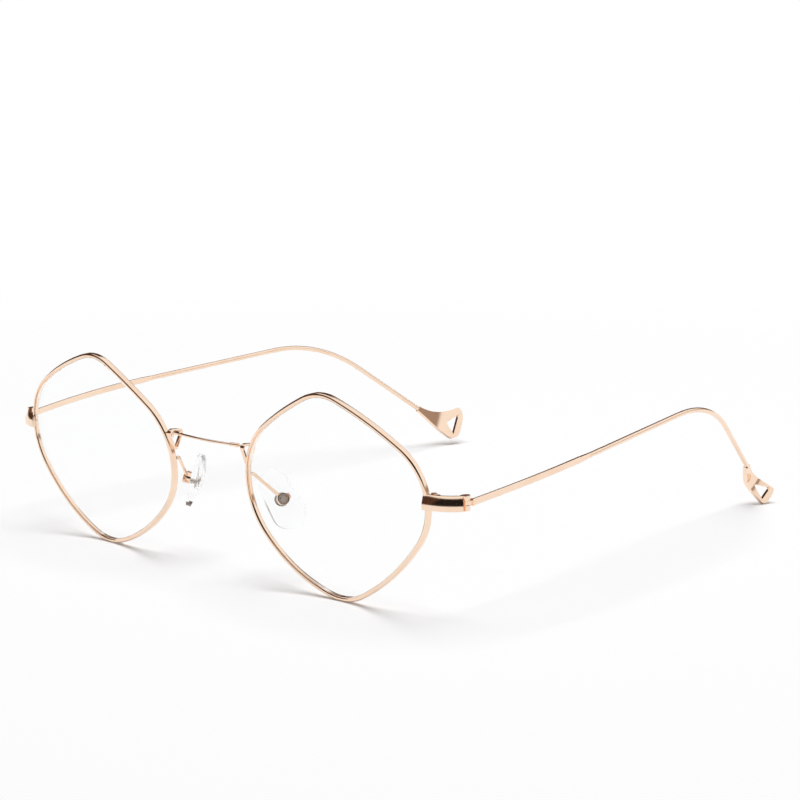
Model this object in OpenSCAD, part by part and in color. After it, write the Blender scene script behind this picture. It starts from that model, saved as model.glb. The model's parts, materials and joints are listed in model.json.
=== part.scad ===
// Metal spectacles with rounded four-corner lenses, thin wire temples and open fan tips.
// +X is the wearer's left, the front looks along -Y, and the floor is z = 0.
// The rims and both tips stand on the floor, and the temples are open.

/* [Lens outline] */
// Width of one lens opening
lens_w = 48.7; // [44:0.1:54]
// Height of one lens opening
lens_h = 43.1; // [38:0.1:48]
// Distance between the two lens openings at the nose
lens_apart = 24.1; // [22:0.1:30]
// Corner radius at the top
top_r = 10.9; // [6:0.1:13]
// Corner radius at the nose side
nasal_r = 15.9; // [10:0.1:18]
// Corner radius at the bottom
bottom_r = 11.9; // [6:0.1:14]
// Corner radius at the temple side
temporal_r = 13.7; // [8:0.1:16]
// Sideways place of the top corner, minus is towards the nose
top_u = -0.8; // [-3:0.1:3]
// Sideways place of the bottom corner
bottom_u = -0.1; // [-3:0.1:3]
// Height of the temple side corner above the lens centre
temporal_v = 1.8; // [-2:0.1:4]
// Height of the nose side corner above the lens centre
nasal_v = 0; // [-2:0.1:3]
// Radius of the nearly straight side from the top to the nose
top_nasal_side_r = 80; // [60:1:200]
// Radius of the side from the nose to the bottom
nasal_bottom_side_r = 37; // [34:1:120]
// Radius of the side from the bottom to the temple
bottom_temporal_side_r = 49; // [40:1:150]
// Radius of the side from the temple to the top
temporal_top_side_r = 62; // [45:1:200]

/* [Rims and lenses] */
// Radius of the shallow bowl that rims and lenses follow
base_r = 120; // [100:1:300]
// Lean of the front, top forward, in degrees
front_lean = 6.5; // [0:0.5:12]
// Backward turn of each lens at the temple side, in degrees
wrap = 2; // [0:0.5:6]
// Width of the rim's front face
rim_t = 0.7; // [0.6:0.05:1.4]
// Depth of the rim, front to back
rim_d = 1.45; // [1.4:0.05:2.6]
// Height of the inner lips that hold the lens
lip_h = 0.3; // [0.2:0.05:0.6]
// Depth of the step in front of the inner lip
lip_step = 0.3; // [0.2:0.05:0.4]
// Depth of the lens groove from the opening
groove_h = 0.25; // [0.15:0.05:0.4]
// Width of the lens groove
groove_w = 0.5; // [0.4:0.05:0.6]
// Thickness of the lens
lens_t = 1.1; // [1:0.1:1.3]
// Gap between a lens and its rim
lens_gap = 0.04; // [0.02:0.01:0.1]

/* [Bridge] */
// Height of the bridge wire's axis above the floor
bridge_z = 29.7; // [27:0.1:33]
// Diameter of the bridge wire
bridge_wire = 0.85; // [0.8:0.05:1.1]
// Distance from the lens opening to the start of the bridge bar's bend
bridge_inset = 2.15; // [1.85:0.1:3.05]
// Forward bow of the bridge at its middle
bridge_bow = 1; // [0.5:0.1:2]
// Setback of the bridge wire's middle behind the front
bridge_y = 0.2; // [-0.3:0.1:1]
// Radius of the bend at each end of the bridge
bridge_bend_r = 1.2; // [0.9:0.1:1.6]
// Width of the flattened foot at its top
foot_w = 3.2; // [3:0.1:4.5]
// Height of the flattened foot
foot_h = 3.4; // [3.2:0.1:4.6]
// Setback of the foot behind the wire's axis
foot_back = 0.9; // [0:0.1:1]
// Thickness of the flattened foot
foot_t = 0.7; // [0.5:0.05:1]

/* [End pieces] */
// Height of the end pieces' middle above the floor
end_z = 25.3; // [23:0.1:27]
// Height of the end piece bar
end_h = 3.1; // [3:0.1:4.5]
// Thickness of the end piece bar
end_t = 1; // [0.8:0.05:1.4]
// Radius of the crown on the bar's outer face
end_crown_r = 4; // [2.6:0.1:8]
// Step of the bar's front face ahead of the rim
end_ahead = 0.65; // [0.5:0.05:1]
// Overlap of the bar across the rim's front
end_lap = 0.9; // [0.5:0.05:1]
// Radius of the bar's turn towards the temple, on its centre line
end_turn_r = 10; // [7:0.5:16]
// Angle of the bar's turn, in degrees
end_turn = 40; // [30:1:60]
// Straight length of the bar beyond the rim
end_straight = 0.5; // [0.3:0.1:2]
// Width of each rim lock block
lock_w = 1.8; // [1.6:0.1:2.2]
// Depth of each rim lock block behind the bar
lock_d = 1.6; // [1.5:0.05:1.8]
// Gap between the two halves of the rim lock
lock_slit = 0.12; // [0.05:0.01:0.3]

/* [Hinges] */
// Radius of the hinge knuckles
knuckle_r = 0.8; // [0.75:0.05:1]
// Thickness of the hinge tongue
tongue_t = 0.8; // [0.6:0.05:0.9]
// Radius of the hinge screw's shank
hinge_screw_r = 0.35; // [0.3:0.01:0.4]
// Radial running clearance of the tongue on the screw
hinge_run = 0.04; // [0.02:0.01:0.08]
// Gap above and below the tongue
tongue_gap = 0.05; // [0.03:0.01:0.12]
// Depth of the plate that ties the two knuckles to the bar
spine_t = 0.3; // [0.3:0.05:0.6]

/* [Temples] */
// Upward slope of the temple where it leaves the hinge, in degrees
temple_rise = 6.6; // [2:0.1:9]
// Inward turn of the temple where it leaves the hinge, in degrees
temple_inward = -6.4; // [-9:0.1:3]
// Height of the flat spring section
spring_h = 1.4; // [1.3:0.05:1.8]
// Thickness of the flat spring section
spring_t = 0.8; // [0.6:0.05:1.1]
// Diameter of the temple wire
wire_d = 1.15; // [1:0.05:1.5]
// Radius of the long inward bow
bow_r = 166; // [120:1:400]
// Angle of the bow along the flat spring, in degrees
spring_turn = 11.5; // [5:0.1:14]
// Length of the change from flat to round
taper_len = 4; // [2:0.5:8]
// Angle of the bow along the round wire, in degrees
wire_turn = 1.4; // [1:0.1:5]
// Roll of the bow about the temple, in degrees
bow_roll = -12; // [-40:1:10]
// Straight length before the ear bend
ear_lead = 34; // [5:0.5:45]
// Radius of the ear bend
ear_r = 41; // [20:1:60]
// Angle of the ear bend, in degrees
ear_turn = 40; // [25:0.1:60]
// Roll of the ear bend, -90 bends straight down, in degrees
ear_roll = -74.8; // [-90:0.2:-50]
// Straight length from the ear bend to the tip
tail_len = 22.5; // [10:0.1:35]

/* [Tips] */
// Length of the tip from its collar to its far edge
tip_len = 15.6; // [13:0.1:18]
// Reach of the tip's upper corner to one side
tip_high_w = 4.6; // [3.5:0.1:4.8]
// Reach of the tip's lower corner to the other side
tip_low_w = 3; // [2:0.1:4]
// Radius of the tip's corners
tip_corner_r = 1.6; // [1:0.1:1.8]
// Reach of the tip's far edge past its corners
tip_bulge = 0.6; // [0.3:0.1:1]
// Width of metal around the tip's opening
tip_band = 1.5; // [1.2:0.05:1.8]
// Length of the tip's opening
tip_hole_len = 3.6; // [2:0.1:5]
// Thickness of the tip
tip_t = 1.3; // [1:0.05:1.6]
// Radius that the tip is curved to along its length
tip_curve_r = 27; // [20:1:60]
// Turn of the left tip about its wire, in degrees
tip_twist_left = 118; // [60:1:140]
// Turn of the right tip about its wire, in degrees
tip_twist_right = 92; // [60:1:140]
// Lean of the tip out of the wire's line, in degrees
tip_lean = 10; // [0:0.5:15]
// Sideways turn of the left tip in its own plane, in degrees
tip_skew_left = 4.5; // [-8:0.5:8]
// Sideways turn of the right tip in its own plane, in degrees
tip_skew_right = 3; // [-8:0.5:8]
// Radius of the collar
collar_r = 1.05; // [0.9:0.05:1.3]
// Depth of the wire's seat in the collar
collar_seat = 1.2; // [0.8:0.1:2]

/* [Nose pads] */
// Distance from the lens opening's nose side to the pad's middle, seen from the front
pad_inset = 1.15; // [0.75:0.1:2.05]
// Setback of the pad's middle behind the front
pad_y = 10.6; // [10:0.1:12]
// Height of the pad's middle above the floor
pad_z = 16.9; // [16:0.1:18.5]
// Turn of the pad about the vertical, in degrees
pad_splay = 55; // [45:1:65]
// Tilt of the skin face down towards the floor, in degrees
pad_tilt = 16; // [0:1:20]
// Lean of the pad in its own plane, in degrees
pad_lean = 26; // [10:1:35]
// Height of the pad
pad_h = 13.6; // [11:0.1:14]
// Radius of the pad's upper end
pad_top_r = 3.1; // [2:0.1:3.4]
// Radius of the pad's lower end
pad_bottom_r = 3.6; // [2.8:0.1:4]
// Thickness of the pad at its middle
pad_t = 2.2; // [1.8:0.1:2.6]
// Radius of the pad's skin face
pad_crown_r = 17; // [14:0.5:40]
// Outer radius of the round pad box
box_r = 1.3; // [1.2:0.05:1.5]
// Wall of the pad box
box_wall = 0.35; // [0.3:0.05:0.4]
// Length of the pad box
box_len = 1.8; // [1.5:0.1:2.2]
// Gap from the pad box to the pad
box_gap = 0.35; // [0.3:0.05:0.6]
// Radius of the metal core's stem
stem_r = 0.65; // [0.6:0.05:0.7]
// Radius of the metal core's plate inside the pad
core_r = 1.5; // [1.2:0.1:1.7]
// Thickness of the metal core's plate
core_t = 0.5; // [0.4:0.05:0.7]
// Radius of the pad screw's shank
pad_screw_r = 0.3; // [0.2:0.01:0.35]
// Radial running clearance of the stem on the pad screw
pad_run = 0.05; // [0.02:0.01:0.08]
// Diameter of the pad arm wire
arm_d = 0.75; // [0.6:0.05:0.9]
// Height of the arm's root above the lens centre
arm_v = 1.3; // [0:0.1:3]
// Straight length of the arm behind the rim
arm_lead = 0.9; // [0.6:0.1:1.5]
// Radius of the arm's bend
arm_bend_r = 1.1; // [0.8:0.1:1.5]

/* [Hidden] */
LEFT = 1;
RIGHT = -1;
$fn = 64;
gold = [0.93, 0.76, 0.62];
steel = [0.72, 0.72, 0.74];
clear = [0.88, 0.93, 0.95, 0.4];

// A seat gap between two pieces that are brazed or screwed tight
seat = 0.02;
// Reach of cutting tools past the surface that they cut
past = 1;
// Tiny excess of a round corner over its sides, and of a ball over the wire that it joins
blend_over = 0.002;
ball_over = 0.01;
// How much more those balls stand out at the bridge's tight bends
tight_over = 0.02;
// Half the gap that a join ball fills between two runs of wire
join = 0.05;

// Lens outline: four corner arcs joined by four large side arcs, all tangent.
corner_r = [top_r, nasal_r, bottom_r, temporal_r];
side_r = [top_nasal_side_r, nasal_bottom_side_r, bottom_temporal_side_r, temporal_top_side_r];
corner_c = [
    [top_u, lens_h / 2 - top_r],
    [nasal_r - lens_w / 2, nasal_v],
    [bottom_u, bottom_r - lens_h / 2],
    [lens_w / 2 - temporal_r, temporal_v],
];
function next(i) = (i + 1) % 4;
function unit(v) = v / norm(v);
function quarter_turn(v) = [-v[1], v[0]];
// Centre of the side arc that touches corner i and the next one from inside
function side_centre(i) =
    let (a = side_r[i] - corner_r[i])
    let (b = side_r[i] - corner_r[next(i)])
    let (d = corner_c[next(i)] - corner_c[i])
    let (along = (a * a - b * b + d * d) / (2 * norm(d)))
    corner_c[i] + unit(d) * along + quarter_turn(unit(d)) * sqrt(a * a - along * along);
side_c = [for (i = [0:3]) side_centre(i)];
// A point on the line where side j meets corner i, at a distance from the corner's centre
function meet(i, j, r) = corner_c[i] + unit(corner_c[i] - side_c[j]) * r;

// Depth of the bowl at a distance from its middle
function bowl(r) = base_r - sqrt(base_r * base_r - r * r);

// The lowest point of the rims stands on the floor.
rim_low = bottom_r + rim_t - corner_c[2][1];
lens_x = (lens_apart + lens_w) / 2;
lens_z = rim_low * cos(front_lean) - bowl(rim_low) * sin(front_lean);

// A point of the left lens plane, at a depth behind its front
function lens_point(u, v, w) =
    let (x = u * cos(wrap) - w * sin(wrap))
    let (y = u * sin(wrap) + w * cos(wrap))
    [lens_x + x, y * cos(front_lean) - v * sin(front_lean), lens_z + y * sin(front_lean) + v * cos(front_lean)];

// Outer edge of the rim on the temple side, at the height of the end piece
lock_v = (end_z - lens_z) / cos(front_lean);
outer_u = lens_w / 2 + rim_t - pow(lock_v - temporal_v, 2) / (2 * temporal_r);
rim_edge = lens_point(outer_u, lock_v, bowl(outer_u));

// The end piece bar leaves the rim along the bowl, then turns back towards the hinge.
bar_turn = wrap + asin(outer_u / base_r);
bar_mid = end_t / 2 - end_ahead;
function from_bar(x, y) = [
    rim_edge[0] + x * cos(bar_turn) - y * sin(bar_turn),
    rim_edge[1] + x * sin(bar_turn) + y * cos(bar_turn),
];
bar_end = from_bar(
    end_straight + end_turn_r * sin(end_turn), bar_mid + end_turn_r * (1 - cos(end_turn))
);
bar_out_x = bar_end[0] + end_t / 2 * sin(bar_turn + end_turn);

// Rim lock, behind the bar and against the rim
lock_screw_r = 0.4;
lock_half_h = end_h / 2 - 0.2 - lock_slit / 2;
lock_x = lock_w / 2 + 0.05;
lock_y = bar_mid + end_t / 2 + seat + lock_d / 2;

// Hinge axis, inboard of the bar's outer edge so that the outer faces lie flush
hinge_x = bar_out_x - knuckle_r + 0.1;
hinge_y = bar_end[1] + spine_t + knuckle_r + tongue_gap;
tongue_eye_r = knuckle_r - 0.05;
hinge_head_r = knuckle_r - 0.2;
hinge_head_h = 0.35;
slot_h = tongue_t + 2 * tongue_gap;
knuckle_h = (end_h - slot_h) / 2;
shoe_y = knuckle_r + 0.15;
shoe_len = 0.5;
temple_start = [hinge_x + knuckle_r - spring_t / 2 + 0.2, hinge_y + shoe_y + shoe_len, end_z];

// Stations along the temple, each a point and the turn of the path's frame there
function turn_x_by(a) = [[1, 0, 0], [0, cos(a), -sin(a)], [0, sin(a), cos(a)]];
function turn_y_by(a) = [[cos(a), 0, sin(a)], [0, 1, 0], [-sin(a), 0, cos(a)]];
function turn_z_by(a) = [[cos(a), -sin(a), 0], [sin(a), cos(a), 0], [0, 0, 1]];
function onward(at, length) = [at[0] + at[1] * [0, 0, length], at[1]];
function round_bend(at, r, turn, roll) = [
    at[0] + at[1] * (turn_z_by(roll) * [r * (1 - cos(turn)), 0, r * sin(turn)]),
    at[1] * turn_z_by(roll) * turn_y_by(turn) * turn_z_by(-roll),
];
leaves_hinge = [
    temple_start,
    turn_z_by(temple_inward) * turn_x_by(temple_rise) * turn_z_by(180) * turn_x_by(90),
];
bow_ends = round_bend(
    onward(round_bend(leaves_hinge, bow_r, spring_turn, bow_roll), taper_len), bow_r, wire_turn, bow_roll
);
tip_starts = onward(round_bend(onward(bow_ends, ear_lead), ear_r, ear_turn, ear_roll), tail_len);
tip_sag = tip_curve_r - sqrt(tip_curve_r * tip_curve_r - tip_len * tip_len);
// The far point of a tip, for its own turns
function tip_end(twist, skew) =
    let (turned = turn_z_by(twist) * turn_x_by(tip_lean) * turn_y_by(skew))
    tip_starts[0] + tip_starts[1] * (turned * [0, tip_sag, tip_len]);

// The part's overall depth, from the rims' top edge to the tips, is centred on the origin.
rim_top = lens_h / 2 + rim_t;
front_reach = bowl(rim_top) * cos(front_lean) - rim_top * sin(front_lean);
back_reach = max(tip_end(tip_twist_left, tip_skew_left)[1], tip_end(tip_twist_right, tip_skew_right)[1]);
front_y = -(back_reach + front_reach) / 2;

// Bridge: an arc that bows forward, seen from above
bridge_half = lens_apart / 2 - bridge_inset;
bridge_r = (bridge_half * bridge_half + bridge_bow * bridge_bow) / (2 * bridge_bow);
bridge_angle = asin(bridge_half / bridge_r);
foot_x = bridge_half + bridge_bend_r * cos(bridge_angle);
foot_y = bridge_y + bridge_bow + bridge_bend_r * sin(bridge_angle);

// Pad frame: x across the pad, y out of the skin face, z up its length
pad_place = [lens_apart / 2 + pad_inset, pad_y, pad_z];
box_far = -pad_t / 2 - box_gap - box_len;
screw_y = box_far + box_len / 2;
pad_out = [-sin(pad_splay) * cos(pad_tilt), cos(pad_splay) * cos(pad_tilt), -sin(pad_tilt)];
box_place = pad_place + pad_out * screw_y;
arm_u = -lens_w / 2 - (rim_t - lip_h) / 2 + pow(arm_v - nasal_v, 2) / (2 * nasal_r);
arm_root = lens_point(arm_u, arm_v, bowl(arm_u) + rim_d);
arm_knee = arm_root + [0, arm_lead, 0];
arm_to_box = box_place - arm_knee;
arm_turn = acos(arm_to_box[1] / norm(arm_to_box));
arm_roll = atan2(arm_to_box[2], -arm_to_box[0]);

// Puts a left piece where it belongs, or its mirror image on the right.
module placed(side) {
    translate([0, front_y, 0]) mirror([side == RIGHT ? 1 : 0, 0, 0]) children();
}

// Stands the lens plane's drawing up at the left lens.
module in_lens_plane() {
    translate([lens_x, 0, lens_z]) rotate([front_lean, 0, 0]) rotate([0, 0, wrap]) children();
}

// A flat outline, drawn as sideways and up, made solid from depth y0 to depth y1.
module plate(y0, y1) {
    translate([0, y1, 0]) rotate([90, 0, 0]) linear_extrude(y1 - y0) children();
}

// The same, with both faces following the bowl.
module bowl_plate(y0, y1) {
    difference() {
        intersection() {
            plate(y0 - past, y1 + bowl(lens_w)) children();
            translate([0, base_r + y0, 0]) sphere(base_r, $fn = 200);
        }
        translate([0, base_r + y1, 0]) sphere(base_r, $fn = 200);
    }
}

// The lens outline, grown outwards by a distance.
module eye_shape(grow) {
    for (i = [0:3]) {
        translate(corner_c[i]) circle(corner_r[i] + grow + blend_over);
        intersection() {
            translate(side_c[i]) circle(side_r[i] + grow);
            polygon([corner_c[i], meet(i, i, lens_w / 2), meet(next(i), i, lens_w / 2), corner_c[next(i)]]);
        }
    }
    polygon(corner_c);
}

// The rim's outer shape with a seat gap, for cutting what is brazed to it.
module rim_envelope() {
    in_lens_plane() bowl_plate(-seat, rim_d + seat) eye_shape(rim_t + seat);
}

// Everything within the rim's outer edge, in front of it and behind it too.
module rim_prism() {
    in_lens_plane() plate(-2 * rim_d, 5 * rim_d) eye_shape(rim_t + seat);
}

// Outer tangent from one circle [x, y, r] to the next, on the right-hand side
function tangent_side(a, b) =
    let (d = [b[0] - a[0], b[1] - a[1]])
    let (s = (a[2] - b[2]) / norm(d))
    -quarter_turn(unit(d)) * sqrt(1 - s * s) + unit(d) * s;

// A convex outline with round corners, from circles [x, y, r] in counterclockwise order.
module rounded(circles) {
    n = len(circles);
    polygon([for (i = [0:n - 1])
        let (a = circles[i])
        let (b = circles[(i + 1) % n])
        let (t = tangent_side(a, b))
        each [[a[0], a[1]] + t * a[2], [b[0], b[1]] + t * b[2]]
    ]);
    for (c = circles) translate([c[0], c[1]]) circle(c[2] + blend_over);
}

// A path's frame has z along it, x towards the wearer's middle and y up.
module path_from(point, rise, inward) {
    translate(point) rotate([rise, 0, inward]) rotate([90, 0, 180]) children();
}
module past_run(length) {
    translate([0, 0, length]) children();
}
module past_bend(r, turn, roll = 0) {
    rotate([0, 0, roll])
        translate([r * (1 - cos(turn)), 0, r * sin(turn)])
            rotate([0, turn, 0]) rotate([0, 0, -roll]) children();
}
// A section swept round a bend of the path, short by the join at both ends
module bent(r, turn, roll = 0) {
    cut = join / r * 180 / PI;
    rotate([0, 0, roll]) translate([r, 0, 0]) rotate([90, 0, 180]) rotate([0, 0, cut])
        rotate_extrude(angle = turn - 2 * cut, $fn = 120) translate([r, 0]) mirror([1, 0]) rotate(-roll) children();
}
// A straight run of wire, short by the join at both ends
module straight(length, d) {
    translate([0, 0, join]) cylinder(h = length - 2 * join, d = d);
}
// The ball that joins two runs of wire
module join_ball(d) {
    sphere(d / 2 + ball_over);
}

// Rim: a thin hoop with a lens groove, slit on the temple side under its lock.
module rim(side) {
    color(gold) placed(side) difference() {
        in_lens_plane() {
            difference() {
                bowl_plate(0, rim_d) eye_shape(rim_t);
                bowl_plate(-past, rim_d + past) eye_shape(-lip_h);
                bowl_plate(-past, lip_step) eye_shape(0);
                bowl_plate(rim_d / 2 - groove_w / 2, rim_d / 2 + groove_w / 2) eye_shape(groove_h);
            }
        }
        translate([rim_edge[0] - 3, 0, end_z - lock_slit / 2]) cube([6, 10, lock_slit]);
    }
}

// Lens: a clear bowl with a tongue round its edge that sits in the groove.
module lens(side) {
    tongue = groove_w / 2 - lens_gap;
    color(clear) placed(side) in_lens_plane() {
        bowl_plate((rim_d - lens_t) / 2, (rim_d + lens_t) / 2) eye_shape(-lip_h - lens_gap);
        bowl_plate(rim_d / 2 - tongue, rim_d / 2 + tongue) eye_shape(groove_h - lens_gap);
    }
}

// One end of the bridge: the wire turns down into a flattened foot brazed to the rim's nose side.
module bridge_end() {
    cut = join / bridge_bend_r * 180 / PI;
    low_r = foot_h / 4;
    top_r = foot_t;
    top = bridge_z - bridge_bend_r;
    low = bridge_z - foot_h - low_r / 2;
    translate([bridge_half, bridge_y + bridge_bow, bridge_z]) rotate([0, 0, bridge_angle]) {
        rotate([0, 90, 0]) join_ball(bridge_wire + 2 * tight_over);
        translate([0, 0, -bridge_bend_r]) rotate([90, -cut, 0])
            rotate_extrude(angle = 90 - 2 * cut) translate([bridge_bend_r, 0]) circle(d = bridge_wire);
    }
    translate([foot_x, foot_y, top]) join_ball(bridge_wire + 2 * tight_over);
    difference() {
        union() {
            translate([foot_x, foot_y, top - bridge_wire]) cylinder(h = bridge_wire - join, d = bridge_wire);
            translate([foot_x - foot_t / 2, foot_y + foot_back, 0]) rotate([90, 0, 90]) linear_extrude(2.5) rounded([
                [low_r / 2, low, low_r],
                [foot_w / 2 - top_r, top - top_r, top_r],
                [top_r - foot_w / 2, top - top_r, top_r],
            ]);
        }
        rim_prism();
    }
}

// Bridge: one wire that bows forward between the lenses, with a foot at each end.
module bridge() {
    cut = join / bridge_r * 180 / PI;
    color(gold) translate([0, front_y, 0]) {
        translate([0, bridge_y + bridge_r, bridge_z]) rotate([0, 0, cut - 90 - bridge_angle])
            rotate_extrude(angle = 2 * (bridge_angle - cut), $fn = 120)
                translate([bridge_r, 0]) circle(d = bridge_wire);
        for (side = [0, 1]) mirror([side, 0, 0]) bridge_end();
    }
}

// The bar's section: straight inside, crowned outside, thinned by a hair where it runs into another
module bar_section(hair = 0) {
    intersection() {
        translate([hair - end_t / 2, hair - end_h / 2]) square([end_t, end_h - 2 * hair]);
        translate([end_t / 2 - end_crown_r, 0]) circle(end_crown_r - hair);
    }
}

// The end piece bar's frame: at the rim's edge, x along the bar and y to the back.
module at_bar() {
    translate([rim_edge[0], rim_edge[1], end_z]) rotate([0, 0, bar_turn]) children();
}

// End piece: laps the rim's front, leaves it and turns back to the hinge.
module end_piece(side) {
    color(gold) placed(side) difference() {
        at_bar() {
            translate([end_straight, bar_mid + end_turn_r, 0]) rotate([0, 0, -90])
                rotate_extrude(angle = end_turn + 8, $fn = 120) translate([end_turn_r, 0]) bar_section();
            translate([-end_lap, bar_mid, 0]) rotate([90, 0, 90]) linear_extrude(end_lap + end_straight + join)
                mirror([1, 0]) bar_section(2 * blend_over);
        }
        rim_envelope();
        translate([bar_end[0] - 5, bar_end[1], end_z - end_h]) cube([10, 10, 2 * end_h]);
    }
}

// One half of the rim lock, a block that closes the rim, drilled for the lock screw.
module lock_half(side, level) {
    z = level > 0 ? lock_slit / 2 : -lock_slit / 2 - lock_half_h;
    color(gold) placed(side) difference() {
        at_bar() translate([lock_x - lock_w, lock_y - lock_d / 2, z]) cube([1.6 * lock_w, lock_d, lock_half_h]);
        rim_prism();
        at_bar() translate([end_straight, bar_mid + end_turn_r, -end_h]) difference() {
            cylinder(h = 2 * end_h, r = 2 * end_turn_r, $fn = 120);
            translate([0, 0, -past]) cylinder(h = 2 * end_h + 2 * past, r = end_turn_r - end_t / 2 - seat, $fn = 120);
        }
        at_bar() translate([lock_x, lock_y, z - past])
            cylinder(h = lock_half_h + 2 * past, r = lock_screw_r + seat);
    }
}

// A slotted screw that stands upright, its head's underside at z = 0.
module slotted_screw(shank_r, length, head_r, head_h) {
    translate([0, 0, -length]) cylinder(h = length, r = shank_r);
    difference() {
        cylinder(h = head_h, r = head_r);
        translate([-head_r, -head_r / 6, head_h * 0.45]) cube([2 * head_r, head_r / 3, head_h]);
    }
}

// Rim lock screw: pulls the two lock halves together.
module lock_screw(side) {
    color(steel) placed(side) at_bar() translate([lock_x, lock_y, lock_slit / 2 + lock_half_h + seat])
        slotted_screw(lock_screw_r, 2 * lock_half_h, 0.65, 0.3);
}

// Hinge fork: two knuckles on a plate brazed to the bar's end.
module hinge_fork(side) {
    root_y = bar_end[1] + seat;
    color(gold) placed(side) difference() {
        union() {
            for (z = [end_z - end_h / 2, end_z + slot_h / 2]) {
                translate([hinge_x, hinge_y, z]) cylinder(h = knuckle_h, r = knuckle_r);
                translate([hinge_x - knuckle_r, root_y, z]) cube([2 * knuckle_r, hinge_y - root_y, knuckle_h]);
            }
            translate([hinge_x - knuckle_r, root_y, end_z - end_h / 2]) cube([2 * knuckle_r, spine_t - seat, end_h]);
        }
        translate([hinge_x, hinge_y, end_z - end_h]) cylinder(h = 2 * end_h, r = hinge_screw_r + seat);
        translate([hinge_x, hinge_y, end_z + end_h / 2 - hinge_head_h]) cylinder(h = past, r = hinge_head_r + seat);
    }
}

// Hinge screw: drops through both knuckles and the tongue.
module hinge_screw(side) {
    color(steel) placed(side) translate([hinge_x, hinge_y, end_z + end_h / 2 - hinge_head_h + seat])
        slotted_screw(hinge_screw_r, end_h - 0.4, hinge_head_r, hinge_head_h - seat);
}

// Hinge tongue: a round eye on the screw, and a shoe brazed to the temple.
module hinge_tongue(side) {
    color(gold) placed(side) difference() {
        union() {
            translate([hinge_x, hinge_y, end_z - tongue_t / 2]) {
                cylinder(h = tongue_t, r = tongue_eye_r);
                translate([-0.1, 0, 0]) cube([tongue_eye_r + 0.1, shoe_y + 0.2, tongue_t]);
            }
            translate([temple_start[0] - spring_t / 2, hinge_y + shoe_y, temple_start[2] - spring_h / 2])
                cube([spring_t, shoe_len - seat, spring_h]);
        }
        translate([hinge_x, hinge_y, end_z - end_h]) cylinder(h = 2 * end_h, r = hinge_screw_r + hinge_run);
    }
}

// The temple's path, station by station.
module at_spring() {
    path_from(temple_start, temple_rise, temple_inward) children();
}
module at_taper() {
    at_spring() past_bend(bow_r, spring_turn, bow_roll) children();
}
module at_wire() {
    at_taper() past_run(taper_len) children();
}
module at_lead() {
    at_wire() past_bend(bow_r, wire_turn, bow_roll) children();
}
module at_ear() {
    at_lead() past_run(ear_lead) children();
}
module at_tail() {
    at_ear() past_bend(ear_r, ear_turn, ear_roll) children();
}
module at_tip() {
    at_tail() past_run(tail_len) children();
}

module spring_section() {
    intersection() {
        circle(d = spring_h);
        translate([-spring_t / 2, -spring_h / 2]) square([spring_t, spring_h]);
    }
}

// The spring section becomes round: a cone between two faces that spread.
module spring_to_wire() {
    back = 2 * join;
    spread = (wire_d / 2 + ball_over - spring_t / 2) / taper_len;
    shrink = (spring_h - wire_d) / taper_len;
    intersection() {
        translate([0, 0, -back])
            cylinder(h = taper_len + back - join, d1 = spring_h + shrink * back, d2 = wire_d + shrink * join);
        translate([0, spring_h, 0]) rotate([90, 0, 0]) linear_extrude(2 * spring_h) polygon([
            [spread * back - spring_t / 2, -2 * back], [spring_t / 2 - spread * back, -2 * back],
            [spring_t / 2 + spread * taper_len, taper_len], [-spring_t / 2 - spread * taper_len, taper_len],
        ]);
    }
}

// Temple: flat spring, round wire, ear bend and straight tail, all one drawn wire.
module temple(side) {
    color(gold) placed(side) {
        at_spring() bent(bow_r, spring_turn + 4 * join / bow_r * 180 / PI, bow_roll) spring_section();
        at_taper() spring_to_wire();
        at_wire() join_ball(wire_d);
        at_wire() bent(bow_r, wire_turn, bow_roll) circle(d = wire_d);
        at_lead() join_ball(wire_d);
        at_lead() straight(ear_lead, wire_d);
        at_ear() join_ball(wire_d);
        at_ear() bent(ear_r, ear_turn, ear_roll) circle(d = wire_d);
        at_tail() join_ball(wire_d);
        at_tail() translate([0, 0, join]) cylinder(h = tail_len - join - seat, d = wire_d);
    }
}

// Tip: a curved fan with an open end, on a collar that holds the temple's wire.
module temple_tip(side) {
    edge = tip_len - tip_corner_r;
    hole_r = 0.5;
    inset = tip_band + hole_r;
    twist = side == LEFT ? tip_twist_left : tip_twist_right;
    skew = side == LEFT ? tip_skew_left : tip_skew_right;
    color(gold) placed(side) at_tip() {
        rotate([0, 0, twist]) rotate([tip_lean, 0, 0]) rotate([0, skew, 0]) difference() {
            intersection() {
                plate(-tip_curve_r / 2, tip_curve_r / 2) difference() {
                    rounded([
                        [0, 0.6, 0.8],
                        [tip_high_w - tip_corner_r, edge - tip_bulge, tip_corner_r],
                        [(tip_high_w - tip_low_w) / 2, edge, tip_corner_r],
                        [tip_corner_r - tip_low_w, edge - tip_bulge, tip_corner_r],
                    ]);
                    rounded([
                        [0.25, tip_len - inset - tip_hole_len, hole_r],
                        [tip_high_w - inset, tip_len - inset, hole_r],
                        [inset - tip_low_w, tip_len - inset, hole_r],
                    ]);
                }
                translate([-10, tip_curve_r, 0]) rotate([0, 90, 0]) difference() {
                    cylinder(h = 20, r = tip_curve_r + tip_t / 2, $fn = 240);
                    translate([0, 0, -past]) cylinder(h = 20 + 2 * past, r = tip_curve_r - tip_t / 2, $fn = 240);
                }
            }
            rotate([0, -skew, 0]) rotate([-tip_lean, 0, 0]) translate([0, 0, -past])
                cylinder(h = past, r = wire_d / 2 + seat);
        }
        difference() {
            translate([0, 0, -collar_seat]) cylinder(h = collar_seat + 0.9, r = collar_r);
            translate([0, 0, -collar_seat - past]) cylinder(h = collar_seat + past, r = wire_d / 2 + seat);
        }
    }
}

// The pad's frame, at its middle
module in_pad_frame() {
    translate(pad_place) rotate([-pad_tilt, 0, pad_splay]) rotate([0, -pad_lean, 0]) children();
}
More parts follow.
